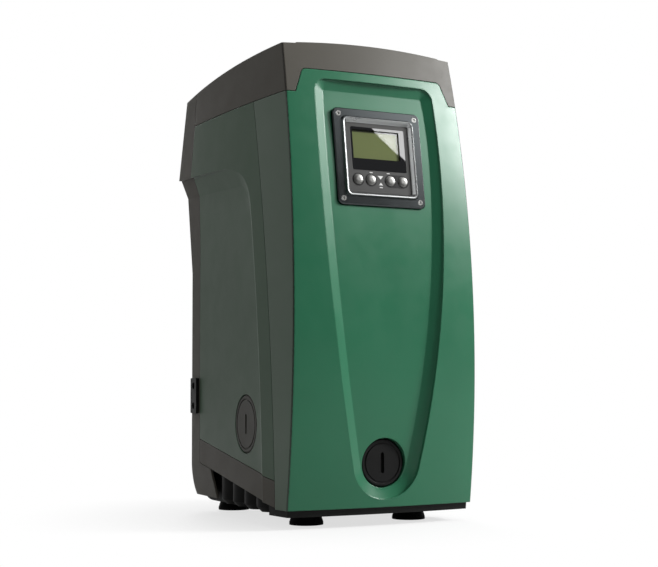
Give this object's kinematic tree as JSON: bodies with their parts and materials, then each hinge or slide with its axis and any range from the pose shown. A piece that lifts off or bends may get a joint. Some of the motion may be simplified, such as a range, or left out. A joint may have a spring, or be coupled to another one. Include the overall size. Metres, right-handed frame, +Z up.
{
  "type": "centrifugal water pump",
  "caption": "Domestic electronic booster pump in an upright moulded cabinet: multistage centrifugal pump, motor, vessel and control screen, threaded inlet and outlet at the rear.",
  "frame": {"origin": "on the floor under the middle of the cabinet's bounding box", "axes": "+Z up, front with the screen toward -Y, right-hand side seen from the front toward +X"},
  "size_m": [0.2544, 0.3565, 0.5668],
  "materials": {
    "green_plastic": "satin moulded green",
    "grey_plastic": "fine-textured warm grey",
    "olive_plastic": "satin grey-green",
    "black_plastic": "matte black",
    "dark_chrome": "dark metallised gloss",
    "screen_glass": "clear gloss over a black border",
    "lcd": "grey-green liquid crystal",
    "button_grey": "satin silver-grey",
    "black_rubber": "matte",
    "zinc_steel": "zinc plated",
    "stainless": "brushed stainless",
    "cast_aluminium": "as cast",
    "lamination": "stacked laminations",
    "copper_winding": "varnished copper wire",
    "bearing_steel": "ground",
    "seal_carbon": "lapped",
    "hydraulic_plastic": "glass-filled black",
    "brass_thread": "machined",
    "vessel_steel": "blue enamel",
    "board": "solder mask"
  },
  "bodies": {
    "cabinet": {"top_cap": "grey_plastic", "front_cover": "green_plastic", "right_side_panel": "olive_plastic", "left_side_panel": "olive_plastic", "right_skirt": "grey_plastic", "left_skirt": "grey_plastic", "rear_shell": "grey_plastic", "side_clip": "black_plastic", "vent_grille": "black_plastic", "cable_gland": "black_plastic", "base_tray": "black_plastic", "foot_inserts": "brass_thread", "display_bezel": "dark_chrome", "bezel_screws": "zinc_steel", "display_module": "black_plastic", "keypad_fascia": "black_plastic", "display_glass": "screen_glass", "lcd_panel": "lcd", "front_plug_seal": "black_rubber", "side_plug_seal": "black_rubber", "motor_jacket": "cast_aluminium", "stator_core": "lamination", "stator_windings": "copper_winding", "motor_end_bell": "cast_aluminium", "bearing_bracket": "cast_aluminium", "front_bearing": "bearing_steel", "rear_bearing": "bearing_steel", "mechanical_seal": "seal_carbon", "diffusers": "hydraulic_plastic", "pump_casing": "stainless", "motor_mounts": "black_rubber", "inlet_port": "brass_thread", "outlet_port": "brass_thread", "port_collars": "black_plastic", "suction_manifold": "hydraulic_plastic", "valve_body": "hydraulic_plastic", "valve_guide": "hydraulic_plastic", "discharge_elbow": "hydraulic_plastic", "discharge_pipe": "stainless", "expansion_vessel": "vessel_steel", "chassis": "zinc_steel", "vessel_strap": "zinc_steel", "inverter_case": "cast_aluminium", "control_board": "board", "inverter_lid": "black_plastic"},
    "rotor": {"pump_shaft": "stainless", "rotor_core": "lamination", "impellers": "hydraulic_plastic"},
    "check_valve": {"valve_poppet": "hydraulic_plastic"},
    "left_button": {"left_button": "button_grey"},
    "mode_button": {"mode_button": "button_grey"},
    "right_button": {"right_button": "button_grey"},
    "set_button": {"set_button": "button_grey"},
    "front_plug": {"front_plug": "black_plastic"},
    "side_plug": {"side_plug": "grey_plastic"},
    "front_left_foot": {"front_left_foot": "black_rubber"},
    "front_right_foot": {"front_right_foot": "black_rubber"},
    "rear_left_foot": {"rear_left_foot": "black_rubber"},
    "rear_right_foot": {"rear_right_foot": "black_rubber"}
  },
  "joints": [
    {"name": "rotor_spin", "type": "hinge", "parent": "cabinet", "child": "rotor", "pos_m": [0, 0, 0.074], "axis": [0, 1, 0], "continuous": true},
    {"name": "valve_lift", "type": "slide", "parent": "cabinet", "child": "check_valve", "axis": [-0.999, 0.0454, 0], "range_m": [0, 0.007], "stiffness_N_per_m": 60, "springref_m": -0.006},
    {"name": "left_button_press", "type": "slide", "parent": "cabinet", "child": "left_button", "axis": [0, 0.9905, -0.1374], "range_m": [0, 0.001], "stiffness_N_per_m": 400, "springref_m": -0.001},
    {"name": "mode_button_press", "type": "slide", "parent": "cabinet", "child": "mode_button", "axis": [0, 0.9905, -0.1374], "range_m": [0, 0.001], "stiffness_N_per_m": 400, "springref_m": -0.001},
    {"name": "right_button_press", "type": "slide", "parent": "cabinet", "child": "right_button", "axis": [0, 0.9905, -0.1374], "range_m": [0, 0.001], "stiffness_N_per_m": 400, "springref_m": -0.001},
    {"name": "set_button_press", "type": "slide", "parent": "cabinet", "child": "set_button", "axis": [0, 0.9905, -0.1374], "range_m": [0, 0.001], "stiffness_N_per_m": 400, "springref_m": -0.001},
    {"name": "front_plug_pull", "type": "slide", "parent": "cabinet", "child": "front_plug", "axis": [0, -1, 0], "range_m": [0, 0.03]},
    {"name": "side_plug_pull", "type": "slide", "parent": "cabinet", "child": "side_plug", "axis": [-0.999, 0.0454, 0], "range_m": [0, 0.03]},
    {"name": "front_left_foot_screw", "type": "slide", "parent": "cabinet", "child": "front_left_foot", "axis": [0, 0, -1], "range_m": [0, 0.01]},
    {"name": "front_right_foot_screw", "type": "slide", "parent": "cabinet", "child": "front_right_foot", "axis": [0, 0, -1], "range_m": [0, 0.01]},
    {"name": "rear_left_foot_screw", "type": "slide", "parent": "cabinet", "child": "rear_left_foot", "axis": [0, 0, -1], "range_m": [0, 0.01]},
    {"name": "rear_right_foot_screw", "type": "slide", "parent": "cabinet", "child": "rear_right_foot", "axis": [0, 0, -1], "range_m": [0, 0.01]}
  ]
}
